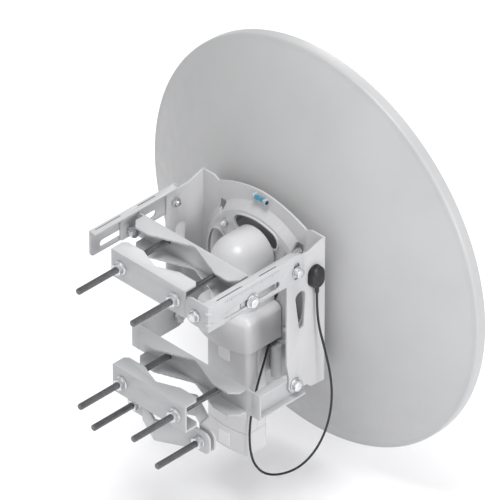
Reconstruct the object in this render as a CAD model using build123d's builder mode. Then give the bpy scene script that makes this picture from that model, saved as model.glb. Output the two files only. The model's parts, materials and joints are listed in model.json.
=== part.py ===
"""Outdoor wireless bridge: a dish reflector with a clip-in radio, carried on a pole by
two V-jaw clamps, a tilting bracket with slotted elevation arms, and a support clamp.

Frame: millimetres, +Z up.  The origin is on the pole's axis at the height of the
dish's centre line.  The dish looks along -Y, and +X is its left-hand side.
"""
import os
from math import tan, radians

from build123d import *

os.makedirs("parts", exist_ok=True)

# --- Driving dimensions -----------------------------------------------------------
dish_radius = 325        # outer radius of the rolled rim
dish_depth = 100         # rim plane to the back of the vertex
rim_y = -279             # rim plane, measured from the pole's axis
skin = 2                 # reflector sheet
sheet = 3                # bracket sheet
gap = 0.4                # air between pieces that move past each other

pole_radius = 35.5       # pole that the clamps are set to
vee_angle = 20.7         # slope of each side of a clamp notch
vee_apex = 38.3          # notch apex to the pole's axis

pivot_y, pivot_z = -118, -106    # tilt pivot, also the height of the lower clamp
pin_y, arm_z = -117, 92          # upper pin, and the height of the arms and cross channel
clamp_z = 94                     # height of the upper clamp
flange_x = 122                   # outer face of the back frame's side flanges
bolt_y, slot_z = -28, 87         # bolts that hold the arms to the cross channel

rod_x, rod_radius = 54, 5        # clamp rods, M10
pin_radius = 4                   # elevation screw and upper pins, M8
fit = 0.06                       # radial clearance of a running fit

radio_half, radio_back, radio_front = 41, -145, -97
radio_top, radio_split, radio_bottom = -41, -231, -270

# --- Values that follow from them -------------------------------------------------
focal = dish_radius**2 / (4 * dish_depth)
vertex_y = rim_y + dish_depth
plate_y = vertex_y + 5                 # near face of the back plate
arm_inner = flange_x + gap
arm_outer = arm_inner + sheet
slope = tan(radians(vee_angle))
hex_radius = 1.6                       # across-flats radius over thread radius


# --- Shared construction ----------------------------------------------------------
def across(y):
    """Sketch plane at Y = y: local axes are X and Z, and it extrudes towards the dish."""
    return Plane.XZ.offset(-y)


def flank(x):
    """Sketch plane at X = x: local axes are Y and Z, and it extrudes towards +X."""
    return Plane.YZ.offset(x)


def level(z):
    """Sketch plane at Z = z, which extrudes upwards."""
    return Plane.XY.offset(z)


def bar(start, direction, radius, length, bore=0, sides=0, mode=Mode.ADD):
    """Add a round or many-sided bar to the part being built, or cut it away."""
    with BuildSketch(Plane(start, z_dir=direction)) as section:
        if sides:
            RegularPolygon(radius, sides, major_radius=False)
        else:
            Circle(radius)
        if bore:
            Circle(bore, mode=Mode.SUBTRACT)
    extrude(section.sketch, amount=length, mode=mode)


def block(low, high, mode=Mode.ADD):
    """Add a box between two corners to the part being built, or cut it away."""
    size = [b - a for a, b in zip(low, high)]
    with Locations(tuple((a + b) / 2 for a, b in zip(low, high))):
        Box(*size, mode=mode)


def save(piece, name):
    piece.part.label = name
    export_step(piece.part, f"parts/{name}.step")


def vee_flange(half_width, back_y, tip_y, apex_y, corner):
    """Outline of a clamp flange seen from above, with a toothed V notch in its edge."""
    toward = 1 if tip_y > back_y else -1
    depth = abs(tip_y - apex_y)
    reach = depth / slope
    teeth = 7
    notch = [(reach, tip_y)]
    for step in range(1, teeth):
        share = 1 - step / teeth
        notch.append((reach * share, apex_y + toward * depth * share))
        notch.append((reach * share, apex_y + toward * (depth * share - 0.9)))
    left = [(-x, y) for x, y in reversed(notch)]
    with BuildLine() as edge:
        Polyline((half_width, back_y), (half_width, tip_y - toward * corner),
                 (half_width - corner, tip_y), *notch, (0, apex_y), *left,
                 (corner - half_width, tip_y), (-half_width, tip_y - toward * corner),
                 (-half_width, back_y), close=True)
    make_face(edge.edges())


# --- Reflector --------------------------------------------------------------------
def dish_y(radius):
    """Y of the reflector's back face at a radius."""
    return vertex_y - radius**2 / (4 * focal)


bead, rim_lip = 3, 13             # rolled edge, and how far the rim wall stands forward
hub_hole = 30.3
stops = [hub_hole, 90, 160, 240, dish_radius - skin / 2]
with BuildPart() as reflector:
    with BuildSketch(Plane.XY):
        with BuildLine():
            Spline(*[(r, dish_y(r)) for r in stops])
            Spline(*[(r, dish_y(r) - skin) for r in stops])
            Line((hub_hole, dish_y(hub_hole)), (hub_hole, dish_y(hub_hole) - skin))
            Line((stops[-1], dish_y(stops[-1])), (stops[-1], dish_y(stops[-1]) - skin))
        make_face()
        with Locations((dish_radius - skin / 2, rim_y - rim_lip / 2)):
            Rectangle(skin, rim_lip + 2 * skin)
        with Locations((dish_radius - bead, rim_y - rim_lip)):
            Circle(bead)
    revolve(axis=Axis.Y)
    spacer_place = 62
    for x in (-spacer_place, spacer_place):
        for z in (-spacer_place, spacer_place):
            bar((x, vertex_y, z), (0, -1, 0), 3.3, 20, mode=Mode.SUBTRACT)
save(reflector, "reflector")

# --- Back frame: plate with windows, and two side flanges ----------------------------
window_radius, window_height, lip = 81, 29, 2.5
arcs = [Edge.make_circle(window_radius, start_angle=a - 21, end_angle=a + 21)
        for a in (0, 90, 180, 270)]
drum_y = plate_y + 12            # near face of the pressed-out middle
drum_inner, drum_outer = 102, 114
lip_y = drum_y + lip
with BuildPart() as back_frame:
    with BuildSketch(across(plate_y)):
        with BuildLine() as half:
            ThreePointArc((0, 138), (46, 131), (88, 115))
            Polyline((88, 115), (97, 120), (flange_x, 120), (flange_x, -128), (88, -118))
            ThreePointArc((88, -118), (46, -131), (0, -138))
            mirror(about=Plane.YZ)
        make_face()
        Circle(drum_outer - 2, mode=Mode.SUBTRACT)
    extrude(amount=sheet)
    with BuildSketch(Plane.XY):
        with BuildLine():
            Polyline((45, drum_y), (drum_inner, drum_y), (drum_outer, plate_y),
                     (drum_outer, plate_y - sheet), (drum_outer - 3, plate_y - sheet),
                     (drum_inner - 2, drum_y - sheet), (45, drum_y - sheet), close=True)
        make_face()
    revolve(axis=Axis.Y)
    with BuildSketch(across(lip_y)) as lips:
        for arc in arcs:
            SlotArc(arc, window_height + 2 * lip)
    extrude(amount=lip)
    with BuildSketch(across(lip_y)) as windows:
        for arc in arcs:
            SlotArc(arc, window_height)
        with Locations((-76, 80), (76, 80)):
            Rectangle(13, 15)
    extrude(amount=lip_y - plate_y + sheet, mode=Mode.SUBTRACT)
    far_y = plate_y - sheet
    for x in (-flange_x, flange_x - sheet):
        with BuildSketch(flank(x)) as side_face:
            with BuildLine():
                Polyline((far_y, 120), (-146, 110.5), (-101, 110.5), (-101, -64),
                         (-106, -92), (-105, -110), (-112, -120), (-141, -118),
                         (-150, -126), (far_y, -128), close=True)
            make_face()
            fillet(side_face.vertices().sort_by(Axis.X)[-5:], 5)
            with Locations((pivot_y, pivot_z)):
                Circle(rod_radius + fit, mode=Mode.SUBTRACT)
            with Locations((pin_y, arm_z)):
                Circle(pin_radius + fit, mode=Mode.SUBTRACT)
        extrude(amount=sheet)
        with BuildSketch(flank(x)):
            with BuildLine():
                l1 = CenterArc((-128, 40), 10, 0, 180)
                l2 = CenterArc((-130, -10), 5, 180, 180)
                Line(l1 @ 0, l2 @ 1)
                Line(l1 @ 1, l2 @ 0)
            make_face()
        extrude(amount=sheet, mode=Mode.SUBTRACT)
    for x in (-spacer_place, spacer_place):
        for z in (-spacer_place, spacer_place):
            bar((x, lip_y, z), (0, -1, 0), 3.3, 10, mode=Mode.SUBTRACT)
save(back_frame, "back_frame")

with BuildPart() as frame_spacers:
    for x in (-spacer_place, spacer_place):
        for z in (-spacer_place, spacer_place):
            bar((x, drum_y - sheet, z), (0, -1, 0), 7, drum_y - sheet - dish_y(80), bore=3.3)
save(frame_spacers, "frame_spacers")

with BuildPart() as frame_bolts:
    for x in (-spacer_place, spacer_place):
        for z in (-spacer_place, spacer_place):
            bar((x, drum_y, z), (0, 1, 0), 5, 5, sides=6)
            bar((x, drum_y + 7, z), (0, -1, 0), 3, drum_y + 11 - dish_y(88))
            bar((x, dish_y(88) - skin - 4.5, z), (0, 1, 0), 6.5, 2.5)
save(frame_bolts, "frame_bolts")

# --- Spirit level at the top of the plate ----------------------------------------
level_z, level_y = 128, plate_y + 4.5
with BuildPart() as level_clips:
    for x in (-13, 9):
        block((x, plate_y, level_z - 4.5), (x + 4, level_y + 4, level_z + 4.5))
    bar((-14, level_y, level_z), (1, 0, 0), 3, 28, mode=Mode.SUBTRACT)
save(level_clips, "level_clips")

with BuildPart() as level_vial:
    bar((-14, level_y, level_z), (1, 0, 0), 3, 28)
save(level_vial, "level_vial")

# --- Feed, in front of the dish ---------------------------------------------------
feed_radius, feed_end = 25, -399
with BuildPart() as feed_tube:
    bar((0, plate_y - 4, 0), (0, -1, 0), feed_radius, plate_y - 4 - feed_end, bore=22)
    bar((0, vertex_y - skin - 6, 0), (0, 1, 0), 38, 3, bore=feed_radius - 0.5)
save(feed_tube, "feed_tube")

with BuildPart() as feed_housing:
    bar((0, plate_y - 3.5, 0), (0, 1, 0), 38, 18)
save(feed_housing, "feed_housing")

with BuildPart() as sub_reflector:
    with BuildSketch(Plane.XY):
        with BuildLine():
            Polyline((0, feed_end + 14), (20, feed_end + 14), (21.7, feed_end), (0, feed_end),
                     close=True)
        make_face()
    revolve(axis=Axis.Y)
save(sub_reflector, "sub_reflector")

with BuildPart() as feed_cap:
    with BuildSketch(Plane.XY):
        with BuildLine():
            Polyline((0, feed_end), (34, feed_end), (36, feed_end - 5), (32, feed_end - 12),
                     (18, feed_end - 17), (0, feed_end - 18), close=True)
        make_face()
    revolve(axis=Axis.Y)
save(feed_cap, "feed_cap")


# --- Radio ------------------------------------------------------------------------
def radio_outline(inset):
    """Radio seen from above: flat back and sides, gently bowed front."""
    half, back, bow = radio_half - inset, radio_back + inset, radio_front - inset
    with BuildLine() as edge:
        Polyline((-half, bow - 6), (-half, back), (half, back), (half, bow - 6))
        ThreePointArc((half, bow - 6), (0, bow), (-half, bow - 6))
    make_face(edge.edges())


wall, seam_y = 2.5, -124
for name, near, far in (("radio_shell_front", radio_front, seam_y),
                        ("radio_shell_back", seam_y, radio_back)):
    with BuildPart() as radio_shell:
        with BuildSketch(level(radio_split)) as outline:
            radio_outline(0)
        extrude(outline.sketch, amount=radio_top - radio_split)
        fillet(radio_shell.edges().filter_by(Axis.Z), 7)
        with BuildSketch(level(radio_split + wall)) as hollow:
            radio_outline(wall)
        extrude(hollow.sketch, amount=radio_top - radio_split - 2 * wall, mode=Mode.SUBTRACT)
        block((-60, far, radio_split), (60, near, radio_top), mode=Mode.INTERSECT)
    save(radio_shell, name)

cable_radius = 4.5
cable_y = -121
with BuildPart() as port_cover:
    with BuildSketch(level(radio_bottom)) as outline:
        radio_outline(0)
    extrude(outline.sketch, amount=radio_split - gap - radio_bottom)
    fillet(port_cover.edges().filter_by(Axis.Z), 7)
    fillet(port_cover.faces().sort_by(Axis.Z)[0].edges(), 2)
    with BuildSketch(level(radio_bottom + wall)) as hollow:
        radio_outline(wall)
    extrude(hollow.sketch, amount=60, mode=Mode.SUBTRACT)
    bar((0, cable_y, radio_bottom), (0, 0, 1), cable_radius, wall, mode=Mode.SUBTRACT)
save(port_cover, "port_cover")

with BuildPart() as circuit_board:
    block((-34, -130, radio_split + 6), (34, -128.4, radio_top - 6))
    block((-20, -128.4, -150), (20, -120, -110))
save(circuit_board, "circuit_board")

with BuildPart() as ethernet_jack:
    block((-8.5, -129, radio_split - 15), (8.5, -113, radio_split))
    block((-6, -127, radio_split - 15), (6, -117, radio_split - 3), mode=Mode.SUBTRACT)
save(ethernet_jack, "ethernet_jack")

with BuildPart() as rf_connectors:
    for x in (-18, 18):
        bar((x, cable_y, radio_top), (0, 0, 1), 8, 4)
        bar((x, cable_y, radio_top + 4), (0, 0, 1), 5, 10)
save(rf_connectors, "rf_connectors")

jumper_top = 4
with BuildPart() as coax_jumpers:
    for x in (-18, 18):
        with BuildLine() as route:
            FilletPolyline((x, cable_y, radio_top + 14), (x, cable_y, jumper_top),
                           (x, plate_y + 14.5, jumper_top), radius=12)
        with BuildSketch(Plane((x, cable_y, radio_top + 14), z_dir=(0, 0, 1))) as section:
            Circle(2.2)
        sweep(section.sketch, path=route.line)
save(coax_jumpers, "coax_jumpers")

# Mount that the radio hangs on: a rounded column behind it and two posts beside it.
mount_bottom, post_x, post_height = -143, 51, 53
with BuildPart() as radio_mount:
    block((-36, lip_y, mount_bottom), (36, radio_back, -62))
    fillet(radio_mount.edges().filter_by(Axis.Z), 6)
    for x in (-post_x, post_x):
        bar((x, lip_y + 8.2, mount_bottom), (0, 0, 1), 8, post_height)
        block((min(x, 0), lip_y, mount_bottom), (max(x, 0), lip_y + 6, mount_bottom + post_height))
save(radio_mount, "radio_mount")


# --- Shroud over the connectors: a dome arched back to the plate, above a skirt --------
dome_radius, dome_y, dome_z = 39, -125, 46
skirt_half, skirt_front, skirt_corner = 53, -81, -95
skirt_bottom, skirt_top = -79, -22
shroud_back = lip_y + 0.2


def shroud_shape(inset, bottom, mode):
    """Solid shroud made a little smaller by inset, added to the open part or cut away."""
    radius, half = dome_radius - inset, skirt_half - inset
    with BuildPart(mode=Mode.PRIVATE) as skirt:
        with BuildSketch(level(bottom)) as plan:
            with BuildLine() as edge:
                Polyline((-half, skirt_corner - inset), (-half, shroud_back),
                         (half, shroud_back), (half, skirt_corner - inset))
                ThreePointArc((half, skirt_corner - inset), (0, skirt_front - inset),
                              (-half, skirt_corner - inset))
            make_face(edge.edges())
            fillet(plan.vertices().group_by(Axis.Y)[-1], 13 - inset)
        extrude(plan.sketch, amount=skirt_top - inset - bottom)
        top_edges = skirt.faces().sort_by(Axis.Z)[-1].edges()
        fillet(top_edges.sort_by(Axis.Y)[1:], 12 - inset)
    with BuildPart(mode=Mode.PRIVATE) as cover:
        add(skirt.part)
        with Locations((0, dome_y, dome_z)):
            Sphere(radius)
        bar((0, dome_y, bottom), (0, 0, 1), radius, dome_z - bottom)
        bar((0, dome_y, dome_z), (0, -1, 0), radius, dome_y - shroud_back)
        block((-radius, shroud_back, bottom), (radius, dome_y, dome_z))
    add(cover.part, mode=mode)


with BuildPart() as shroud:
    shroud_shape(0, skirt_bottom, Mode.ADD)
    shroud_shape(3, skirt_bottom - 20, Mode.SUBTRACT)
    block((-60, shroud_back - 30, -120), (60, shroud_back, 120), mode=Mode.SUBTRACT)
save(shroud, "shroud")

# --- Lower bracket: U-shaped, with clamp flanges ----------------------------------
web_y, jaw_half = -40, 21          # near face of the web, and half the bracket's height
low, high = pivot_z - jaw_half, pivot_z + jaw_half
arm_x = flange_x - sheet - 0.5     # outer face of the bracket's arms
with BuildPart() as lower_bracket:
    with BuildSketch(level(low)) as outline:
        with BuildLine():
            Polyline((-arm_x, -133), (-arm_x, web_y), (arm_x, web_y), (arm_x, -133), close=True)
        make_face()
        fillet(outline.vertices().group_by(Axis.Y)[-1], 6)
        with BuildLine():
            inner_x, inner_y = arm_x - sheet, web_y - sheet
            Polyline((-inner_x, -136), (-inner_x, inner_y), (inner_x, inner_y),
                     (inner_x, -136), close=True)
        make_face(mode=Mode.SUBTRACT)
    extrude(outline.sketch, amount=2 * jaw_half)
    nose = lower_bracket.edges().filter_by(Axis.X).group_by(Axis.Y)[0]
    fillet(nose, 14)
    for z in (low, high - sheet):
        with BuildSketch(level(z)) as flange:
            vee_flange(101, web_y - 1, web_y + 24, -vee_apex, 12)
        extrude(flange.sketch, amount=sheet)
        for side in (-1, 1):
            edge_x, rib_x = side * (arm_x - 1), side * (arm_x + 10.5)
            block((min(edge_x, rib_x), -132 if z == low else -95, z),
                  (max(edge_x, rib_x), web_y, z + sheet))
    for side in (-1, 1):
        edge_x, rib_x = side * (arm_x - 5), side * (arm_x + 10.5)
        block((min(edge_x, rib_x), web_y - sheet, low), (max(edge_x, rib_x), web_y, high))
    for side in (-1, 1):
        bar((side * rod_x, web_y - 10, pivot_z), (0, 1, 0), rod_radius + 0.5, 20,
            mode=Mode.SUBTRACT)
        bar((side * 110, pivot_y, pivot_z), (side, 0, 0), rod_radius + fit, 20,
            mode=Mode.SUBTRACT)
save(lower_bracket, "lower_bracket")

# --- Upper cross channel ----------------------------------------------------------
channel_y = -40                    # near face of the channel's web
channel_low, channel_high = arm_z - 21, arm_z + 20
with BuildPart() as cross_channel:
    web_end = flange_x - 1
    block((-web_end, channel_y - sheet, channel_low), (web_end, channel_y, channel_high))
    for z in (channel_low, channel_high - sheet):
        with BuildSketch(level(z)) as flange:
            vee_flange(104, channel_y - 1, channel_y + 27, -vee_apex, 12)
        extrude(flange.sketch, amount=sheet)
    for side in (-1, 1):
        with BuildSketch(flank(side * flange_x - (sheet if side > 0 else 0))) as tab:
            with Locations((bolt_y, arm_z)):
                RectangleRounded(36, 34, 4)
            with Locations((bolt_y, slot_z)):
                Circle(rod_radius + fit, mode=Mode.SUBTRACT)
        extrude(tab.sketch, amount=sheet)
        bar((side * rod_x, channel_y - 10, clamp_z), (0, 1, 0), rod_radius + 0.5, 20,
            mode=Mode.SUBTRACT)
    screw_x = -100
    bar((screw_x, channel_y - 10, arm_z), (0, 1, 0), 6, 20, mode=Mode.SUBTRACT)
save(cross_channel, "cross_channel")

# --- Elevation arms ---------------------------------------------------------------
arm_low, arm_high = arm_z - 18, arm_z + 26
arm_far, slot_half = pin_y - 15, 55.5
tab_y = 58
for name, side, arm_near in (("elevation_arm_left", 1, 46), ("elevation_arm_right", -1, tab_y)):
    with BuildPart() as arm:
        base_x = arm_inner if side > 0 else -arm_outer
        with BuildSketch(flank(base_x)) as plate:
            with BuildLine():
                Polyline((arm_far, arm_low), (arm_near, arm_low), (arm_near, arm_high),
                         (arm_far, arm_high), close=True)
            make_face()
            fillet(plate.vertices().group_by(Axis.X)[0], 13)
            if side > 0:
                fillet(plate.vertices().group_by(Axis.X)[-1], 7)
            with Locations((bolt_y, slot_z)):
                SlotOverall(2 * slot_half, 11.5, mode=Mode.SUBTRACT)
            with Locations((pin_y, arm_z)):
                SlotOverall(28, 11, rotation=90, mode=Mode.SUBTRACT)
        extrude(plate.sketch, amount=sheet)
        lip_x = side * (arm_inner - 10)
        edge_x = side * arm_outer
        block((min(lip_x, edge_x), arm_far + 14, arm_high - sheet),
              (max(lip_x, edge_x), arm_near, arm_high))
        slit_x = side * (arm_inner - 2.2)
        for slit in ((-80, -46), (-12, 38)):
            block((min(slit_x, side * arm_inner), slit[0], arm_high - sheet),
                  (max(slit_x, side * arm_inner), slit[1], arm_high), mode=Mode.SUBTRACT)
        if side < 0:
            with BuildSketch(across(tab_y)) as tab:
                with BuildLine() as edge:
                    Polyline((edge_x, arm_low), (-80, arm_low), (-80, arm_high),
                             (edge_x, arm_high), close=True)
                make_face(edge.edges())
                fillet(tab.vertices().group_by(Axis.X)[-1], 14)
            extrude(tab.sketch, amount=sheet)
            bar((screw_x, tab_y - 10, arm_z), (0, 1, 0), pin_radius + fit, 20,
                mode=Mode.SUBTRACT)
    save(arm, name)

with BuildPart() as elevation_screw:
    bar((screw_x, tab_y + gap, arm_z), (0, 1, 0), 9, 1.5)
    bar((screw_x, tab_y + gap + 1.5, arm_z), (0, 1, 0), 6.5, 6.5, sides=6)
    bar((screw_x, tab_y + gap, arm_z), (0, -1, 0), pin_radius, 162)
save(elevation_screw, "elevation_screw")

with BuildPart() as elevation_nut:
    bar((screw_x, channel_y - sheet, arm_z), (0, -1, 0), 7.5, 8, bore=pin_radius + fit, sides=6)
save(elevation_nut, "elevation_nut")

# --- Bolts across the bracket: pivots, arm bolts and upper pins ---------------------
with BuildPart() as pivot_bolts:
    for side in (-1, 1):
        face_x = flange_x + gap
        bar((side * face_x, pivot_y, pivot_z), (side, 0, 0), 10.5, 1.6)
        bar((side * (face_x + 1.6), pivot_y, pivot_z), (side, 0, 0), 8, 6.4, sides=6)
        bar((side * (face_x + 1.6), pivot_y, pivot_z), (-side, 0, 0), rod_radius, 18)
        bar((side * (arm_x - sheet), pivot_y, pivot_z), (-side, 0, 0), 8, 8, sides=6)
save(pivot_bolts, "pivot_bolts")

with BuildPart() as arm_bolts:
    for side in (-1, 1):
        face_x = arm_outer + gap
        bar((side * face_x, bolt_y, slot_z), (side, 0, 0), 11, 1.6)
        bar((side * (face_x + 1.6), bolt_y, slot_z), (side, 0, 0), 8, 6.4, sides=6)
        bar((side * (face_x + 1.6), bolt_y, slot_z), (-side, 0, 0), rod_radius, 22)
        bar((side * (flange_x - sheet), bolt_y, slot_z), (-side, 0, 0), 8, 8, sides=6)
save(arm_bolts, "arm_bolts")

with BuildPart() as pin_nuts:
    for side in (-1, 1):
        bar((side * (flange_x - sheet), pin_y, arm_z), (-side, 0, 0), 6.5, 6.5,
            bore=pin_radius + fit, sides=6)
save(pin_nuts, "pin_nuts")

for hand, side in (("left", 1), ("right", -1)):
    washer_x = arm_outer + gap
    with BuildPart() as pin_flat_washer:
        bar((side * washer_x, pin_y, arm_z), (side, 0, 0), 9, 1.6, bore=pin_radius)
    save(pin_flat_washer, f"pin_flat_washer_{hand}")
    with BuildPart() as pin_lock_washer:
        bar((side * (washer_x + 1.6), pin_y, arm_z), (side, 0, 0), 7, 2, bore=pin_radius)
    save(pin_lock_washer, f"pin_lock_washer_{hand}")
    with BuildPart() as pin_bolt:
        head_x = washer_x + 3.6
        bar((side * head_x, pin_y, arm_z), (side, 0, 0), 6.5, 5.3, sides=6)
        bar((side * head_x, pin_y, arm_z), (-side, 0, 0), pin_radius, 21)
    save(pin_bolt, f"pin_bolt_{hand}")

# --- Clamps: outer jaws, rods and flange nuts --------------------------------------
jaw_width, jaw_depth, jaw_height = 147, 28, 46
jaw_back = vee_apex + 14.5               # outer face of the jaw
rod_tip = jaw_back + 84
for name, z, seat in (("upper", clamp_z, channel_y - sheet), ("lower", pivot_z, web_y - sheet)):
    with BuildPart() as jaw:
        half = jaw_width / 2
        block((-half, jaw_back - sheet, z - jaw_height / 2), (half, jaw_back, z + jaw_height / 2))
        for flange_z in (z - jaw_height / 2, z + jaw_height / 2 - sheet):
            with BuildSketch(level(flange_z)) as flange:
                vee_flange(half, jaw_back - 1, jaw_back - jaw_depth, vee_apex, 6)
            extrude(flange.sketch, amount=sheet)
        for side in (-1, 1):
            bar((side * rod_x, jaw_back - 10, z), (0, 1, 0), rod_radius + 0.5, 20,
                mode=Mode.SUBTRACT)
    save(jaw, f"clamp_jaw_{name}")
    with BuildPart() as clamp_rods:
        for side in (-1, 1):
            bar((side * rod_x, seat, z), (0, -1, 0), 8, 6.4, sides=6)
            bar((side * rod_x, seat, z), (0, 1, 0), rod_radius, rod_tip - seat)
        chamfer(clamp_rods.faces().sort_by(Axis.Y)[-2:].edges(), 0.8)
    save(clamp_rods, f"clamp_rods_{name}")
    with BuildPart() as clamp_nuts:
        for side in (-1, 1):
            bar((side * rod_x, jaw_back, z), (0, 1, 0), 10.5, 2, bore=rod_radius + fit)
            bar((side * rod_x, jaw_back + 2, z), (0, 1, 0), 8, 8, bore=rod_radius + fit, sides=6)
    save(clamp_nuts, f"clamp_nuts_{name}")

# --- Support clamp below them -----------------------------------------------------
support_z, support_height, support_x = -167, 36, 64.5
strap, front_ear, rear_ear = 4, 13, 3
strap_routes = {
    "support_clamp_front": [(83, front_ear), (52, front_ear), (46, 18.5), (0, vee_apex + 3.2)],
    "support_clamp_rear": [(83, rear_ear), (52.5, rear_ear), (48, -17), (0, -vee_apex - 3.2)],
}
for name, half_route in strap_routes.items():
    other_half = [(-x, y) for x, y in reversed(half_route[:-1])]
    with BuildPart() as strap_half:
        with BuildSketch(level(support_z - support_height / 2)) as section:
            with BuildLine():
                FilletPolyline(*half_route, *other_half, radius=4)
            trace(line_width=strap)
        extrude(section.sketch, amount=support_height)
        for edge_group in (0, -1):
            fillet(strap_half.edges().filter_by(Axis.Y).group_by(Axis.X)[edge_group], 12)
        for x in (-support_x, support_x):
            bar((x, -20, support_z), (0, 1, 0), rod_radius + 0.5, 50, mode=Mode.SUBTRACT)
    save(strap_half, name)

rear_seat, front_seat = rear_ear - strap / 2, front_ear + strap / 2
with BuildPart() as support_rods:
    for x in (-support_x, support_x):
        bar((x, rear_seat, support_z), (0, -1, 0), 8, 6.4, sides=6)
        bar((x, rear_seat, support_z), (0, 1, 0), rod_radius, 101 - rear_seat)
    chamfer(support_rods.faces().sort_by(Axis.Y)[-2:].edges(), 1.2)
save(support_rods, "support_rods")

with BuildPart() as support_nuts:
    for x in (-support_x, support_x):
        bar((x, front_seat, support_z), (0, 1, 0), 9.5, 2, bore=rod_radius + fit)
        bar((x, front_seat + 2, support_z), (0, 1, 0), 8, 8, bore=rod_radius + fit, sides=6)
save(support_nuts, "support_nuts")

# --- Satellite positioning receiver and its lead --------------------------------------
puck_y, puck_z = -155, 65
with BuildPart() as gps_base:
    with BuildSketch(flank(-flange_x - 3)) as outline:
        with Locations((puck_y, puck_z)):
            SlotOverall(36, 26, rotation=90)
    extrude(outline.sketch, amount=3)
save(gps_base, "gps_base")

with BuildPart() as gps_cover:
    with BuildSketch(flank(-flange_x - 12)) as outline:
        with Locations((puck_y, puck_z)):
            SlotOverall(35, 25, rotation=90)
    extrude(outline.sketch, amount=9)
    fillet(gps_cover.faces().sort_by(Axis.X)[0].edges(), 5)
save(gps_cover, "gps_cover")

lead_radius = 1.75
lead_x = -flange_x - 6
with BuildPart() as gps_strain_relief:
    bar((lead_x, puck_y, puck_z - 12), (0, 0, -1), 3.2, 14)
    add(gps_base.part, mode=Mode.SUBTRACT)
    add(gps_cover.part, mode=Mode.SUBTRACT)
save(gps_strain_relief, "gps_strain_relief")

lead_route = [
    (lead_x, puck_y, 39), (lead_x, puck_y, 14), (-131, -156, -20), (-141, -159, -58),
    (-151, -162, -105), (-152, -162, -150), (-146, -158, -193), (-134, -149, -233),
    (-115, -137, -266), (-91, -125, -286), (-69, -113, -292), (-55, -105, -280),
    (-49, -101, -256), (-47, -101, -221), (-47, -106, -184), (-47, -116, -150),
    (-47, -129, -117), (-46, -141, -90), (-44, -150, -66),
]


def corner_radii(points):
    """As large an arc at each corner as its two runs leave room for."""
    radii = []
    for before, here, after in zip(points, points[1:], points[2:]):
        run_in = Vector(here) - Vector(before)
        run_out = Vector(after) - Vector(here)
        turn = run_in.get_angle(run_out)
        radii.append(0.45 * min(run_in.length, run_out.length) / tan(radians(turn / 2)))
    return radii


radii = corner_radii(lead_route)
with BuildPart() as gps_lead:
    with BuildLine() as route:
        FilletPolyline(*lead_route, radius=radii)
    with BuildSketch(Plane(route.line @ 0, z_dir=route.line % 0)) as section:
        Circle(lead_radius)
    sweep(section.sketch, path=route.line)
print("lead radii", [round(r) for r in radii])
print("lead length", round(sum(edge.length for edge in route.edges())),
      "volume over section", round(gps_lead.part.volume / section.sketch.area))
save(gps_lead, "gps_lead")

plug_direction = route.line % 1
with BuildPart() as gps_plug:
    bar(route.line @ 1, plug_direction, 4, 16)
save(gps_plug, "gps_plug")
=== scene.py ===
"""Looks for the outdoor wireless bridge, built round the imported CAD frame.

Painted sheet parts are copies of the CAD shapes with rounded edges, and screws, rods,
the reflector and the feed are modelled here from the frame's own places.
Lengths in this script are metres; MM turns millimetres into them.
"""
import json
import math

import bmesh
import bpy
from mathutils import Matrix, Vector


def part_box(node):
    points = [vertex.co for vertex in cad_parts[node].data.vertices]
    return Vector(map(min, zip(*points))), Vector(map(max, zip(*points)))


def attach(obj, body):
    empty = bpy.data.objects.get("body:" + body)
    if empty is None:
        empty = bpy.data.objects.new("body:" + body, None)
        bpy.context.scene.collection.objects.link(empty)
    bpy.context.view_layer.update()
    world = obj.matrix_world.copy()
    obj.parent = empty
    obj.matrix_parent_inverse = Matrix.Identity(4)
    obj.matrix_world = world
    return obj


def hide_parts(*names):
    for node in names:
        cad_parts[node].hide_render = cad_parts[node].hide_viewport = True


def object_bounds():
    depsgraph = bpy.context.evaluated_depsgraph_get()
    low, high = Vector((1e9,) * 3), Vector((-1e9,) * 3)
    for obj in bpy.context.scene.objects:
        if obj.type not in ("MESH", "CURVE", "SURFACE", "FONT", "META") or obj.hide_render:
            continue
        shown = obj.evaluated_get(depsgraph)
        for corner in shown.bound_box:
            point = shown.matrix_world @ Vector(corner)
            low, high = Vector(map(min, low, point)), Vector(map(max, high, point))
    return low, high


MM = 0.001
ROUND_TURN = 2 * math.pi
SAME_POINT = 0.005 * MM             # vertices closer than this are one vertex
FLAT_ANGLE = math.radians(0.6)      # faces meeting under this angle are one face
SHARP_ANGLE = math.radians(35)      # edges bent more than this get rounded
NOISE_RANGE = (0.3, 0.7)            # where most of a noise texture's values lie

# Metric bolts: half the width across the flats, head height and shank radius.
M10_FLATS, M10_HEAD, M10_RADIUS = 8 * MM, 6.4 * MM, 5 * MM
M8_FLATS, M8_HEAD, M8_RADIUS = 6.5 * MM, 5.3 * MM, 4 * MM
ROD_PITCH, BOLT_PITCH, SMALL_PITCH = 1.5 * MM, 1.25 * MM, 1 * MM
NUT_BORE = 4.06 * MM

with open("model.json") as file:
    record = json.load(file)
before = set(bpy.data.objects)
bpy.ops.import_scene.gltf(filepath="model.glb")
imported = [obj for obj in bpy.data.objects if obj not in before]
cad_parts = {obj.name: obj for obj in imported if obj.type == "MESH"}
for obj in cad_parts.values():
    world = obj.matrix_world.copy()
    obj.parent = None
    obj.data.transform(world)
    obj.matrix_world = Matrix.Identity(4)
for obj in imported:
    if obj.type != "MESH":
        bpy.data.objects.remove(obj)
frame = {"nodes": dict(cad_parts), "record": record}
cad_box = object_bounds()
body_of_node = {node: body for body, nodes in frame["record"]["behaviour"]["bodies"].items()
                for node in nodes}
slot_of_node = {part["node"]: part["material_slot"] for part in frame["record"]["subparts"]}


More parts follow.
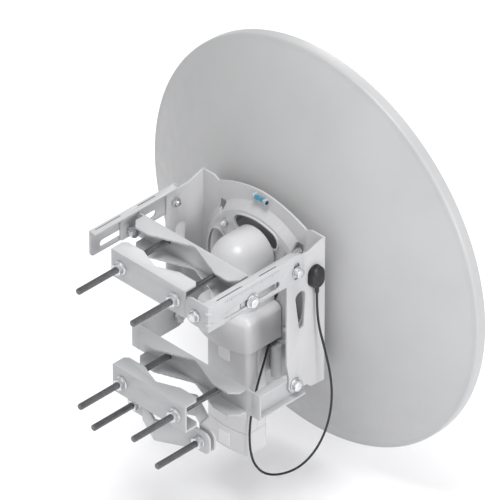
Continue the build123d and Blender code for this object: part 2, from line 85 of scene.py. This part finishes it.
# --- Materials --------------------------------------------------------------------
class Surface:
    """A Principled material with helpers for its procedural detail."""

    def __init__(self, name, color, roughness, metallic=0.0, coat=0.0):
        self.material = bpy.data.materials.new(name)
        self.material.use_nodes = True
        self.nodes = self.material.node_tree.nodes
        self.links = self.material.node_tree.links
        self.shader = self.nodes["Principled BSDF"]
        self.shader.inputs["Base Color"].default_value = (*color, 1)
        self.shader.inputs["Roughness"].default_value = roughness
        self.shader.inputs["Metallic"].default_value = metallic
        self.shader.inputs["Coat Weight"].default_value = coat
        self.shader.inputs["Coat Roughness"].default_value = 0.12
        self.coordinates = self.nodes.new("ShaderNodeTexCoord").outputs["Object"]
        self.height = None

    def noise(self, scale, detail=2.0, stretch=None):
        """Noise value; stretch squeezes it along each axis for brushed marks."""
        vector = self.coordinates
        if stretch:
            mapping = self.nodes.new("ShaderNodeMapping")
            mapping.inputs["Scale"].default_value = stretch
            self.links.new(vector, mapping.inputs["Vector"])
            vector = mapping.outputs["Vector"]
        texture = self.nodes.new("ShaderNodeTexNoise")
        texture.inputs["Scale"].default_value = scale
        texture.inputs["Detail"].default_value = detail
        self.links.new(vector, texture.inputs["Vector"])
        return texture.outputs["Fac"]

    def cells(self, scale):
        """Random value for each cell of a crystal pattern."""
        texture = self.nodes.new("ShaderNodeTexVoronoi")
        texture.inputs["Scale"].default_value = scale
        self.links.new(self.coordinates, texture.inputs["Vector"])
        split = self.nodes.new("ShaderNodeSeparateColor")
        self.links.new(texture.outputs["Color"], split.inputs["Color"])
        return split.outputs[0]

    def spread(self, value, low, high, socket):
        """Drive a number socket between low and high from a texture value."""
        remap = self.nodes.new("ShaderNodeMapRange")
        remap.inputs["From Min"].default_value = NOISE_RANGE[0]
        remap.inputs["From Max"].default_value = NOISE_RANGE[1]
        remap.inputs["To Min"].default_value = low
        remap.inputs["To Max"].default_value = high
        self.links.new(value, remap.inputs["Value"])
        self.links.new(remap.outputs["Result"], self.shader.inputs[socket])

    def tint(self, value, stops):
        """Colour the surface by a texture value, through (position, colour) stops."""
        ramp = self.nodes.new("ShaderNodeValToRGB")
        elements = ramp.color_ramp.elements
        for element, (position, color) in zip(elements, (stops[0], stops[-1])):
            element.position = position
            element.color = (*color, 1)
        for position, color in stops[1:-1]:
            elements.new(position).color = (*color, 1)
        self.links.new(value, ramp.inputs["Fac"])
        self.links.new(ramp.outputs["Color"], self.shader.inputs["Base Color"])

    def bump(self, value, depth, strength=1.0):
        """Add relief of a real depth; calls stack on each other."""
        node = self.nodes.new("ShaderNodeBump")
        node.inputs["Distance"].default_value = depth
        node.inputs["Strength"].default_value = strength
        self.links.new(value, node.inputs["Height"])
        if self.height:
            self.links.new(self.height, node.inputs["Normal"])
        self.height = node.outputs["Normal"]
        self.links.new(self.height, self.shader.inputs["Normal"])


def scaled(color, share):
    return tuple(min(1.0, channel * share) for channel in color)


def powder_coat(name, color, roughness=0.42):
    """Satin powder coat: orange-peel relief and faint weathering."""
    surface = Surface(name, color, roughness, coat=0.12)
    surface.tint(surface.noise(9, 4), [(0.3, scaled(color, 0.955)), (0.5, color),
                                       (0.75, scaled(color, 1.03))])
    surface.spread(surface.noise(60, 3), roughness - 0.07, roughness + 0.08, "Roughness")
    surface.bump(surface.noise(420, 2), 0.05 * MM, 0.5)
    surface.bump(surface.noise(1600, 2), 0.012 * MM, 0.6)
    return surface.material


def plated(name, color, roughness=0.34):
    """Zinc plating: crystal patches, fine wipe marks and small pits."""
    surface = Surface(name, color, roughness, metallic=1.0)
    surface.tint(surface.cells(260), [(0.0, scaled(color, 0.88)), (0.5, color),
                                      (1.0, scaled(color, 1.08))])
    surface.spread(surface.noise(320, 3, (1, 1, 0.15)), roughness - 0.1, roughness + 0.12,
                   "Roughness")
    surface.bump(surface.noise(2400, 3), 0.01 * MM, 0.6)
    return surface.material


def turned_metal(name, color, roughness=0.3):
    """Machined aluminium with fine tool marks."""
    surface = Surface(name, color, roughness, metallic=1.0)
    surface.spread(surface.noise(700, 2, (0.2, 1, 0.2)), roughness - 0.1, roughness + 0.1,
                   "Roughness")
    surface.bump(surface.noise(1500, 2, (0.1, 1, 0.1)), 0.01 * MM, 0.5)
    return surface.material


def moulded(name, color, roughness=0.38, grain=0.02, coat=0.0):
    """Moulded plastic: spark-eroded grain with slight gloss variation."""
    surface = Surface(name, color, roughness, coat=coat)
    surface.tint(surface.noise(14, 3), [(0.3, scaled(color, 0.965)), (0.55, color),
                                        (0.8, scaled(color, 1.02))])
    surface.spread(surface.noise(90, 3), roughness - 0.05, roughness + 0.07, "Roughness")
    surface.bump(surface.noise(1900, 2), grain * MM, 0.6)
    return surface.material


def liquid(name, color):
    surface = Surface(name, color, 0.06, coat=0.6)
    surface.shader.inputs["Transmission Weight"].default_value = 0.55
    surface.shader.inputs["IOR"].default_value = 1.42
    surface.tint(surface.noise(240, 2), [(0.35, scaled(color, 0.9)), (0.7, scaled(color, 1.1))])
    return surface.material


materials = {
    "reflector_paint": powder_coat("reflector_paint", (0.405, 0.407, 0.412), 0.46),
    "frame_paint": powder_coat("frame_paint", (0.46, 0.46, 0.468), 0.42),
    "bracket_paint": powder_coat("bracket_paint", (0.43, 0.434, 0.445), 0.40),
    "zinc": plated("zinc", (0.66, 0.67, 0.68)),
    "rod_steel": plated("rod_steel", (0.17, 0.172, 0.178), 0.42),
    "cast_metal": turned_metal("cast_metal", (0.70, 0.71, 0.72)),
    "shell_plastic": moulded("shell_plastic", (0.56, 0.56, 0.568), 0.34, 0.015, 0.15),
    "frame_plastic": moulded("frame_plastic", (0.40, 0.405, 0.41), 0.42),
    "black_plastic": moulded("black_plastic", (0.012, 0.012, 0.013), 0.42, 0.04),
    "black_jacket": moulded("black_jacket", (0.005, 0.005, 0.006), 0.38, 0.02),
    "brass_parts": turned_metal("brass_parts", (0.80, 0.63, 0.30), 0.26),
    "dark_metal": plated("dark_metal", (0.48, 0.48, 0.50), 0.28),
    "board": moulded("board", (0.03, 0.17, 0.08), 0.30, 0.03, 0.4),
    "vial": liquid("vial", (0.04, 0.50, 0.78)),
}
gloss_panel = moulded("gloss_panel", (0.68, 0.68, 0.69), 0.16, 0.004, 0.5)
ink = moulded("scale_ink", (0.26, 0.265, 0.275), 0.5, 0.01)


# --- Mesh building ----------------------------------------------------------------
def finish_mesh(mesh, angle=32):
    for polygon in mesh.polygons:
        polygon.use_smooth = True
    mesh.set_sharp_from_angle(angle=math.radians(angle))


def add_piece(name, mesh, body, slot, nodes=(), material=None):
    """Put a mesh in the scene as a piece that rides on a body and may replace nodes."""
    piece = bpy.data.objects.new(name, mesh)
    bpy.context.scene.collection.objects.link(piece)
    mesh.materials.clear()
    mesh.materials.append(material or materials[slot])
    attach(piece, body)
    if nodes:
        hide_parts(*nodes)
    return piece


class Turned:
    """Shapes built along one axis and gathered into one mesh."""

    def __init__(self):
        self.shape = bmesh.new()
        self.place = Matrix.Identity(4)

    def at(self, origin, direction):
        """Set the axis: later shapes have their heights measured along it from origin."""
        turn = Vector(direction).to_track_quat("Z", "Y").to_matrix().to_4x4()
        self.place = Matrix.Translation(Vector(origin)) @ turn
        return self

    def grid(self, rows, closed=False):
        """Skin rows of points round the axis; closed joins the last row to the first."""
        made = [[self.shape.verts.new(self.place @ Vector(point)) for point in row]
                for row in rows]
        if closed:
            made.append(made[0])
        for lower, upper in zip(made, made[1:]):
            for here in range(len(lower)):
                there = (here + 1) % len(lower)
                self.shape.faces.new((lower[here], lower[there], upper[there], upper[here]))
        if not closed:
            self.shape.faces.new(list(reversed(made[0])))
            self.shape.faces.new(made[-1])

    def lathe(self, profile, columns=48, closed=False):
        """Turn (radius, height) points round the axis. An open profile gets flat ends."""
        self.grid([[(radius * math.cos(ROUND_TURN * step / columns),
                     radius * math.sin(ROUND_TURN * step / columns), height)
                    for step in range(columns)] for radius, height in profile], closed)
        return self

    def hexagon(self, low, high, apothem, bore=0.0, both_ends=False):
        """Hexagon whose corners are turned down by the usual 30 degree cone."""
        columns, crown = 72, apothem * 0.97
        side = []
        for step in range(columns):
            angle = ROUND_TURN * step / columns
            sector = (angle + math.pi / 6) % (math.pi / 3) - math.pi / 6
            side.append((angle, apothem / math.cos(sector)))
        drop = [(radius - crown) * math.tan(math.radians(30)) for _, radius in side]

        def ring(radii, heights):
            return [(radius * math.cos(angle), radius * math.sin(angle), height)
                    for (angle, _), radius, height in zip(side, radii, heights)]

        full = [radius for _, radius in side]
        rows = []
        if both_ends:
            rows.append(ring([crown] * columns, [low] * columns))
            rows.append(ring(full, [low + fall for fall in drop]))
        else:
            rows.append(ring(full, [low] * columns))
        rows.append(ring(full, [high - fall for fall in drop]))
        rows.append(ring([crown] * columns, [high] * columns))
        if bore:
            rows.append(ring([bore] * columns, [high] * columns))
            rows.append(ring([bore] * columns, [low] * columns))
        self.grid(rows, closed=bool(bore))
        return self

    def thread(self, low, high, radius, pitch, columns=20):
        """Helical thread with a chamfered start and end."""
        depth = pitch * 0.58
        steps = max(4, round((high - low) / pitch * 4))
        rows = []
        for row in range(steps + 1):
            height = low + (high - low) * row / steps
            end = min(height - low, high - height)
            limit = radius - depth + min(depth, end * 0.9)
            points = []
            for step in range(columns):
                angle = ROUND_TURN * step / columns
                phase = ((height - low) / pitch - step / columns) % 1
                crest = radius - depth * abs(2 * phase - 1)
                reach = min(limit, crest)
                points.append((reach * math.cos(angle), reach * math.sin(angle), height))
            rows.append(points)
        self.grid(rows)
        return self

    def slab(self, low, high):
        """Plain block between two corners, given in scene coordinates."""
        corners = [self.shape.verts.new((x, y, z)) for z in (low[2], high[2])
                   for x, y in ((low[0], low[1]), (high[0], low[1]),
                                (high[0], high[1]), (low[0], high[1]))]
        for face in ((3, 2, 1, 0), (4, 5, 6, 7), (0, 1, 5, 4), (1, 2, 6, 5), (2, 3, 7, 6),
                     (3, 0, 4, 7)):
            self.shape.faces.new([corners[index] for index in face])
        return self

    def piece(self, name, body, slot, nodes=(), material=None, angle=32):
        mesh = bpy.data.meshes.new(name)
        bmesh.ops.recalc_face_normals(self.shape, faces=self.shape.faces)
        self.shape.to_mesh(mesh)
        self.shape.free()
        finish_mesh(mesh, angle)
        return add_piece(name, mesh, body, slot, nodes, material)


def rounded_copy(node, width):
    """A copy of a CAD node's shape with its sharp edges rounded, in the node's place."""
    shape = bmesh.new()
    shape.from_mesh(frame["nodes"][node].data)
    bmesh.ops.remove_doubles(shape, verts=shape.verts, dist=SAME_POINT)
    bmesh.ops.dissolve_limit(shape, angle_limit=FLAT_ANGLE, verts=shape.verts,
                             edges=shape.edges)
    sharp = [edge for edge in shape.edges
             if len(edge.link_faces) == 2 and edge.calc_face_angle(0) > SHARP_ANGLE]
    bmesh.ops.bevel(shape, geom=sharp, offset=width, segments=2, profile=0.5,
                    affect="EDGES", clamp_overlap=True)
    mesh = bpy.data.meshes.new(node + "_skin")
    shape.to_mesh(mesh)
    shape.free()
    finish_mesh(mesh, 30)
    add_piece(node + "_skin", mesh, body_of_node[node], slot_of_node[node], [node])


def solids_of(node):
    """Box of each separate solid in a CAD node, lowest X first."""
    shape = bmesh.new()
    shape.from_mesh(frame["nodes"][node].data)
    bmesh.ops.remove_doubles(shape, verts=shape.verts, dist=SAME_POINT)
    waiting, boxes = set(shape.verts), []
    while waiting:
        stack, found = [waiting.pop()], []
        while stack:
            vertex = stack.pop()
            found.append(vertex.co.copy())
            for edge in vertex.link_edges:
                other = edge.other_vert(vertex)
                if other in waiting:
                    waiting.remove(other)
                    stack.append(other)
        boxes.append((Vector([min(point[axis] for point in found) for axis in range(3)]),
                      Vector([max(point[axis] for point in found) for axis in range(3)])))
    shape.free()
    return sorted(boxes, key=lambda box: (round(box[0].x, 4), box[0].z))


def middle(box):
    return (box[0] + box[1]) / 2


# --- Painted sheet parts and mouldings: the CAD shapes with rounded edges ------------
for node, width in {
    "back_frame": 0.6, "lower_bracket": 0.7, "cross_channel": 0.7, "elevation_arm_left": 0.7,
    "elevation_arm_right": 0.7, "clamp_jaw_upper": 0.7, "clamp_jaw_lower": 0.7,
    "support_clamp_front": 0.7, "support_clamp_rear": 0.7, "shroud": 1.0,
    "radio_shell_front": 0.6, "radio_shell_back": 0.6, "port_cover": 0.6, "radio_mount": 0.6,
    "level_clips": 0.4, "gps_base": 0.5, "gps_cover": 0.6, "gps_strain_relief": 0.3,
    "ethernet_jack": 0.3, "circuit_board": 0.2,
}.items():
    rounded_copy(node, width * MM)

for node in ("level_vial", "rf_connectors", "coax_jumpers", "sub_reflector", "frame_spacers"):
    keeper = frame["nodes"][node]
    keeper.data.materials.clear()
    keeper.data.materials.append(materials[slot_of_node[node]])


# --- Reflector ----------------------------------------------------------------------
low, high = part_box("reflector")
dish_radius = (high.x - low.x) / 2
skin, roll, rim_wall, hub = 2 * MM, 3 * MM, 13 * MM, 30.3 * MM
vertex_y = high.y
rim_y = low.y + roll + rim_wall
bowl = (vertex_y - rim_y) / dish_radius**2
bend = 5 * MM
span = [hub + (dish_radius - bend - hub) * step / 48 for step in range(49)]
profile = [(radius, vertex_y - bowl * radius**2) for radius in span]
edge_y = vertex_y - bowl * (dish_radius - bend) ** 2
profile += [(dish_radius - bend + bend * math.sin(angle), edge_y - bend + bend * math.cos(angle))
            for angle in [math.radians(30 + 15 * step) for step in range(5)]]
roll_y = rim_y - rim_wall
profile += [(dish_radius - roll + roll * math.cos(angle), roll_y + roll * math.sin(angle))
            for angle in [math.radians(-20 * step) for step in range(14)]]
profile += [(dish_radius - skin, roll_y + roll), (dish_radius - skin, edge_y - bend)]
profile += [(radius, vertex_y - bowl * radius**2 - skin) for radius in reversed(span[:-1])]
dish = Turned().at((0, 0, 0), (0, 1, 0))
dish.lathe(profile, columns=256, closed=True)
dish.piece("reflector_skin", "dish", "reflector_paint", ["reflector"], angle=40)


# --- Feed ---------------------------------------------------------------------------
low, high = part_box("feed_tube")
flange_radius, tube_near, tube_far = (high.x - low.x) / 2, high.y, low.y
flange_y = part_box("reflector")[1].y - skin
tube_radius, tube_bore = 25 * MM, 22 * MM
feed = Turned().at((0, 0, 0), (0, 1, 0))
feed.lathe([(tube_radius, tube_far), (tube_radius, flange_y - 9 * MM),
            (tube_radius + 3 * MM, flange_y - 6 * MM), (flange_radius - 1 * MM, flange_y - 6 * MM),
            (flange_radius, flange_y - 5 * MM), (flange_radius, flange_y - 3 * MM),
            (tube_radius, flange_y - 3 * MM), (tube_radius, tube_near), (tube_bore, tube_near),
            (tube_bore, tube_far)], columns=96, closed=True)
feed.piece("feed_tube_skin", "dish", "shell_plastic", ["feed_tube"])

low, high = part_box("feed_cap")
cap_radius, cap_near, cap_far = (high.x - low.x) / 2, high.y, low.y
cap = Turned().at((0, 0, 0), (0, -1, 0))
dome = [(cap_radius * math.cos(angle) ** 0.6, -cap_near + 5 * MM
         + (cap_near - cap_far - 5 * MM) * math.sin(angle))
        for angle in [math.radians(8 * step) for step in range(11)]]
cap.lathe([(cap_radius - 3 * MM, -cap_near), (cap_radius - 2 * MM, -cap_near + 1 * MM),
           *dome, (0.4 * MM, -cap_far)], columns=96)
cap.piece("feed_cap_skin", "dish", "shell_plastic", ["feed_cap"])

low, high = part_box("feed_housing")
housing_radius = (high.x - low.x) / 2
housing = Turned().at((0, low.y, 0), (0, 1, 0))
depth = high.y - low.y
housing.lathe([(housing_radius, 0), (housing_radius, depth - 5 * MM),
               (housing_radius - 1.5 * MM, depth - 3.5 * MM), (housing_radius - 4 * MM, depth),
               (12 * MM, depth), (11 * MM, depth - 1 * MM), (0.4 * MM, depth - 1 * MM)],
              columns=96)
housing.piece("feed_housing_skin", "dish", "cast_metal", ["feed_housing"])


# --- Hardware -----------------------------------------------------------------------
def stud_bolts(node):
    """Hex bolts along +Y with their heads at the dish end, threaded over their length."""
    bolts = Turned()
    for box in solids_of(node):
        centre = middle(box)
        bolts.at((centre.x, box[0].y, centre.z), (0, 1, 0))
        length = box[1].y - box[0].y
        bolts.hexagon(0, M10_HEAD, M10_FLATS, both_ends=True)
        bolts.lathe([(M10_RADIUS, M10_HEAD - 0.1 * MM), (M10_RADIUS, M10_HEAD + 6 * MM)], 32)
        bolts.thread(M10_HEAD + 5.5 * MM, length, M10_RADIUS, ROD_PITCH)
    bolts.piece(node + "_turned", body_of_node[node], slot_of_node[node], [node], angle=26)


for node in ("clamp_rods_upper", "clamp_rods_lower", "support_rods"):
    stud_bolts(node)


def flange_nuts(node):
    """Flange nuts that face +Y."""
    bore = M10_RADIUS + 0.06 * MM
    nuts = Turned()
    for box in solids_of(node):
        centre = middle(box)
        flange = (box[1].x - box[0].x) / 2
        nuts.at((centre.x, box[0].y, centre.z), (0, 1, 0))
        height = box[1].y - box[0].y
        nuts.lathe([(bore, 0), (flange - 0.4 * MM, 0), (flange, 0.4 * MM), (flange, 1.3 * MM),
                    (8.4 * MM, 2.6 * MM), (bore, 2.6 * MM)], closed=True)
        nuts.hexagon(1.6 * MM, height, M10_FLATS, bore)
    nuts.piece(node + "_turned", body_of_node[node], slot_of_node[node], [node])


for node in ("clamp_nuts_upper", "clamp_nuts_lower", "support_nuts"):
    flange_nuts(node)


def side_bolts(node, washer, head, radius, nut=None):
    """Hex bolts across the bracket: washer (radius, thickness), head (apothem, height)
    and, where the node has one, a nut (apothem, height) at the inner end."""
    bolts = Turned()
    for box in solids_of(node):
        centre = middle(box)
        side = 1 if centre.x > 0 else -1
        tip = box[1].x if side > 0 else box[0].x
        length = box[1].x - box[0].x
        bolts.at((tip, centre.y, centre.z), (-side, 0, 0))
        seat = head[1]
        bolts.lathe([(head[0] * 0.62, 0), (head[0] * 0.66, 0.25 * MM),
                     (head[0] * 0.66, 0.6 * MM)], 48)
        bolts.at((tip - side * seat, centre.y, centre.z), (side, 0, 0))
        bolts.hexagon(0, seat - 0.2 * MM, head[0])
        bolts.at((tip - side * seat, centre.y, centre.z), (-side, 0, 0))
        if washer:
            bolts.lathe([(radius, 0), (washer[0] - 0.3 * MM, 0), (washer[0], 0.3 * MM),
                         (washer[0], washer[1] - 0.3 * MM), (washer[0] - 0.3 * MM, washer[1]),
                         (radius, washer[1])], closed=True)
        end = length - seat
        bolts.lathe([(radius, -0.1 * MM), (radius, end * 0.45)], 32)
        bolts.thread(end * 0.44, end, radius, BOLT_PITCH)
        if nut:
            bolts.hexagon(end - nut[1], end - 0.6 * MM, nut[0], both_ends=True)
    bolts.piece(node + "_turned", body_of_node[node], slot_of_node[node], [node])


for node, washer_radius in (("pivot_bolts", 10.5 * MM), ("arm_bolts", 11 * MM)):
    side_bolts(node, (washer_radius, 1.6 * MM), (M10_FLATS, M10_HEAD), M10_RADIUS,
               (M10_FLATS, 8 * MM))
for node in ("pin_bolt_left", "pin_bolt_right"):
    side_bolts(node, None, (M8_FLATS, M8_HEAD), M8_RADIUS)


def ring_piece(node, split=False):
    """Washer on a bolt across the bracket, flat or a split lock washer."""
    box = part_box(node)
    centre = middle(box)
    radius, thickness = (box[1].y - box[0].y) / 2, box[1].x - box[0].x
    bore, edge = M8_RADIUS + 0.05 * MM, 0.25 * MM
    section = [(bore, edge), (bore + edge, 0), (radius - edge, 0), (radius, edge),
               (radius, thickness - edge), (radius - edge, thickness), (bore + edge, thickness),
               (bore, thickness - edge)]
    ring = Turned().at((box[0].x, centre.y, centre.z), (1, 0, 0))
    if split:
        columns, arc = 44, math.radians(346)
        rows = [[(r * math.cos(arc * step / columns), r * math.sin(arc * step / columns), h)
                 for r, h in section] for step in range(columns + 1)]
        ring.grid(rows)
    else:
        ring.lathe(section, closed=True)
    ring.piece(node + "_turned", body_of_node[node], slot_of_node[node], [node])


for hand in ("left", "right"):
    ring_piece(f"pin_flat_washer_{hand}")
    ring_piece(f"pin_lock_washer_{hand}", split=True)

pins = Turned()
for box in solids_of("pin_nuts"):
    centre = middle(box)
    pins.at((box[0].x, centre.y, centre.z), (1, 0, 0))
    pins.hexagon(0, box[1].x - box[0].x, M8_FLATS, NUT_BORE, both_ends=True)
pins.piece("pin_nuts_turned", "dish", "zinc", ["pin_nuts"])

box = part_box("elevation_nut")
centre = middle(box)
nut = Turned().at((centre.x, box[0].y, centre.z), (0, 1, 0))
nut.hexagon(0, box[1].y - box[0].y, 7.5 * MM, NUT_BORE, both_ends=True)
nut.piece("elevation_nut_turned", "mast_mount", "zinc", ["elevation_nut"])

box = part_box("elevation_screw")
centre = middle(box)
length = box[1].y - box[0].y
screw = Turned().at((centre.x, box[0].y, centre.z), (0, 1, 0))
washer_low = length - 8 * MM
screw.thread(0, washer_low - 12 * MM, M8_RADIUS, BOLT_PITCH)
screw.lathe([(M8_RADIUS, washer_low - 12.4 * MM), (M8_RADIUS, washer_low + 0.2 * MM)], 32)
screw.lathe([(8.6 * MM, washer_low), (9 * MM, washer_low + 0.4 * MM),
             (9 * MM, washer_low + 0.9 * MM), (6.6 * MM, washer_low + 1.9 * MM)], 48)
screw.hexagon(washer_low + 1.5 * MM, length, M8_FLATS)
screw.piece("elevation_screw_turned", "elevation_screw", "zinc", ["elevation_screw"])

frame_bolts = Turned()
head, shank = 3 * MM, 3 * MM
for box in solids_of("frame_bolts"):
    centre = middle(box)
    frame_bolts.at((centre.x, box[0].y, centre.z), (0, 1, 0))
    length = box[1].y - box[0].y
    frame_bolts.lathe([(1.2 * MM, 0), (4 * MM, 0.35 * MM), (5.9 * MM, 1.2 * MM),
                       (6.5 * MM, 2.3 * MM), (6.5 * MM, head)], 40)
    frame_bolts.lathe([(shank, head - 0.1 * MM), (shank, length - 8 * MM)], 24)
    frame_bolts.thread(length - 9 * MM, length, shank, SMALL_PITCH)
    frame_bolts.hexagon(length - 7 * MM, length - 2 * MM, 5 * MM, both_ends=True)
frame_bolts.piece("frame_bolts_turned", "dish", "zinc", ["frame_bolts"])


# --- Lead: the route is the one the CAD model uses ------------------------------------
lead_radius = 1.75 * MM
lead_route = [
    (-128, -155, 39), (-128, -155, 14), (-131, -156, -20), (-141, -159, -58),
    (-151, -162, -105), (-152, -162, -150), (-146, -158, -193), (-134, -149, -233),
    (-115, -137, -266), (-91, -125, -286), (-69, -113, -292), (-55, -105, -280),
    (-49, -101, -256), (-47, -101, -221), (-47, -106, -184), (-47, -116, -150),
    (-47, -129, -117), (-46, -141, -90), (-44, -150, -66),
]
curve = bpy.data.curves.new("gps_lead_flex", "CURVE")
curve.dimensions = "3D"
curve.resolution_u = 12
curve.bevel_depth = lead_radius
curve.bevel_resolution = 5
curve.use_fill_caps = True
spline = curve.splines.new("NURBS")
spline.points.add(len(lead_route) - 1)
for point, place in zip(spline.points, lead_route):
    point.co = (*[value * MM for value in place], 1)
spline.order_u = 3
spline.use_endpoint_u = True
curve.materials.append(materials["black_jacket"])
lead = bpy.data.objects.new("gps_lead_flex", curve)
bpy.context.scene.collection.objects.link(lead)
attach(lead, "dish")
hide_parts("gps_lead")

before_end, lead_end = (Vector(place) for place in lead_route[-2:])
plug = Turned().at(lead_end * MM, lead_end - before_end)
plug.lathe([(1.9 * MM, 0), (2.6 * MM, 0.6 * MM), (2.8 * MM, 5 * MM), (3.2 * MM, 5.4 * MM),
            (4 * MM, 5.8 * MM), (4 * MM, 9.5 * MM), (3.5 * MM, 10 * MM), (3.5 * MM, 10.6 * MM),
            (4 * MM, 11 * MM), (4 * MM, 15.4 * MM), (3.5 * MM, 16 * MM)], 40)
plug_piece = plug.piece("gps_plug_turned", "dish", "brass_parts", ["gps_plug"])


# --- Details that only show ------------------------------------------------------------
# Scale ticks along both edges of each elevation arm's outer face.
bolt_centre = middle(solids_of("arm_bolts")[0])
tick_step, tick_count, tick_half, proud = 4 * MM, 26, 0.5 * MM, 0.25 * MM
short_ticks, long_ticks = (3.6 * MM, 2.4 * MM), (6.2 * MM, 4.2 * MM)   # (upper, lower)
for hand, side in (("left", 1), ("right", -1)):
    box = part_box(f"elevation_arm_{hand}")
    face = box[1].x if side > 0 else box[0].x
    ticks = Turned()
    upper, lower = box[1].z - 5 * MM, box[0].z + 1 * MM
    for step in range(-tick_count // 2, tick_count // 2 + 1):
        y = bolt_centre.y + step * tick_step
        upper_size, lower_size = short_ticks if step % 5 else long_ticks
        for heights in ((upper - upper_size, upper), (lower, lower + lower_size)):
            flats = sorted((face - side * 0.05 * MM, face + side * proud))
            ticks.slab((flats[0], y - tick_half, heights[0]),
                       (flats[1], y + tick_half, heights[1]))
    ticks.piece(f"arm_scale_{hand}", f"arm_{hand}", "bracket_paint", material=ink)


# Pressed stiffening dimples: two across the right arm's bend.
def dimple(shape, centre, half):
    """Rounded lump with its half-lengths along X, Y and Z."""
    rows = []
    for turn in range(1, 12):
        lift = math.pi * turn / 12
        rows.append([(half[0] * math.sin(lift) * math.cos(ROUND_TURN * step / 24),
                      half[1] * math.sin(lift) * math.sin(ROUND_TURN * step / 24),
                      -half[2] * math.cos(lift)) for step in range(24)])
    shape.place = Matrix.Translation(centre)
    shape.grid(rows)


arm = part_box("elevation_arm_right")
dimples = Turned()
for height in (arm[0].z + 12 * MM, arm[1].z - 13 * MM):
    dimple(dimples, Vector((arm[0].x + 4 * MM, arm[1].y - 4.4 * MM, height)),
           (7 * MM, 7 * MM, 3.4 * MM))
dimples.piece("arm_dimples", "arm_right", "bracket_paint")


# Release tabs on the radio and on its port cover.
def rounded_tab(name, width, height, centre_z, body):
    """Glossy tab with round corners on the radio's near face."""
    face_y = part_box("radio_shell_front")[1].y
    tab = Turned()
    corner, rise, rows = 2.2 * MM, 0.5 * MM, []
    for inset, lift in ((0, -0.8 * MM), (0, rise - 0.5 * MM), (0.5 * MM, rise)):
        half_w, half_h = width / 2 - inset, height / 2 - inset
        row = []
        for quarter, (way_x, way_z) in enumerate(((1, 1), (-1, 1), (-1, -1), (1, -1))):
            for step in range(7):
                angle = math.radians(90 * quarter + 15 * step)
                row.append((way_x * (half_w - corner) + corner * math.cos(angle),
                            way_z * (half_h - corner) + corner * math.sin(angle), lift))
        rows.append(row)
    tab.at((0, face_y, centre_z), (0, 1, 0)).grid(rows)
    tab.piece(name, body, "shell_plastic", material=gloss_panel)


radio_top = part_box("radio_shell_front")[1].z
cover_low, cover_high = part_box("port_cover")
rounded_tab("radio_tab", 22 * MM, 30 * MM, radio_top - 58 * MM, "dish")
rounded_tab("port_cover_tab", 22 * MM, 24 * MM, (cover_low.z + cover_high.z) / 2 - 2 * MM,
            "port_cover")

# Raised plateau and centre dimple of the positioning receiver.
low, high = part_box("gps_cover")
puck = middle((low, high))
plateau = Turned().at((low.x + 0.6 * MM, puck.y, puck.z), (-1, 0, 0))
plateau.lathe([(8.6 * MM, 0), (8.6 * MM, 0.35 * MM), (8.0 * MM, 0.9 * MM),
               (4.4 * MM, 1.0 * MM), (3.8 * MM, 0.55 * MM), (0.4 * MM, 0.5 * MM)], 48)
plateau.piece("gps_plateau", "dish", "black_plastic")

# End plugs and index rings of the spirit level.
low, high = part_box("level_vial")
vial = middle((low, high))
ends = Turned()
for x, way in ((low.x, 1), (high.x, -1)):
    ends.at((x, vial.y, vial.z), (way, 0, 0))
    ends.lathe([(2.4 * MM, 0), (3.1 * MM, 0.4 * MM), (3.1 * MM, 2.6 * MM)], 32)
for offset in (-3.2 * MM, 3.2 * MM):
    ends.at((vial.x + offset, vial.y, vial.z), (1, 0, 0))
    ends.lathe([(3.02 * MM, 0), (3.08 * MM, 0.1 * MM), (3.08 * MM, 0.5 * MM),
                (3.02 * MM, 0.6 * MM)], 32)
ends.piece("level_rings", "dish", "black_plastic")


# --- Stage ----------------------------------------------------------------------------
floor_surface = Surface("floor_white", (0.93, 0.93, 0.94), 0.75)
floor_surface.spread(floor_surface.noise(3, 2), 0.72, 0.8, "Roughness")
floor_mesh = bpy.data.meshes.new("floor")
reach, drop = 30, 36 * MM              # the drop keeps it clear of the rim in every pose
floor_z = cad_box[0].z - drop
floor_mesh.from_pydata([(-reach, -reach, floor_z), (reach, -reach, floor_z),
                        (reach, reach, floor_z), (-reach, reach, floor_z)], [], [(0, 1, 2, 3)])
floor_mesh.materials.append(floor_surface.material)
floor = bpy.data.objects.new("floor", floor_mesh)
bpy.context.scene.collection.objects.link(floor)

world = bpy.data.worlds.new("studio")
bpy.context.scene.world = world
world.use_nodes = True
world.node_tree.nodes["Background"].inputs["Color"].default_value = (1, 1, 1, 1)
world.node_tree.nodes["Background"].inputs["Strength"].default_value = 0.62


def softbox(name, place, size, power):
    """Round soft light that faces the object's middle."""
    data = bpy.data.lights.new(name, "AREA")
    data.shape = "DISK"
    data.size = size
    data.energy = power
    lamp = bpy.data.objects.new(name, data)
    lamp.location = place
    lamp.rotation_euler = (centre - Vector(place)).to_track_quat("-Z", "Y").to_euler()
    bpy.context.scene.collection.objects.link(lamp)


centre = middle(cad_box)
softbox("top", (-0.5, 0.5, 3.0), 1.5, 62)
softbox("side", (-2.8, 0.2, 1.1), 1.2, 44)
softbox("fill", (0.6, 2.8, 0.9), 1.8, 4)
softbox("front", (1.2, -2.6, 1.6), 1.8, 34)

# The camera looks down the diagonal of the axes, from far away, so that the view is
# nearly parallel.
view_target = Vector((0, -0.1495, 0.050))
view_width, lens, sensor = 0.7087, 600, 36
camera_data = bpy.data.cameras.new("camera")
camera_data.lens = lens
camera_data.sensor_width = sensor
camera = bpy.data.objects.new("camera", camera_data)
toward_camera = Vector((-1, 1, 1)).normalized()
camera.location = view_target + toward_camera * (view_width * lens / sensor)
camera.rotation_euler = (-toward_camera).to_track_quat("-Z", "Y").to_euler()
camera_data.clip_end = 100
bpy.context.scene.collection.objects.link(camera)
bpy.context.scene.camera = camera
bpy.context.scene.view_settings.view_transform = "Standard"
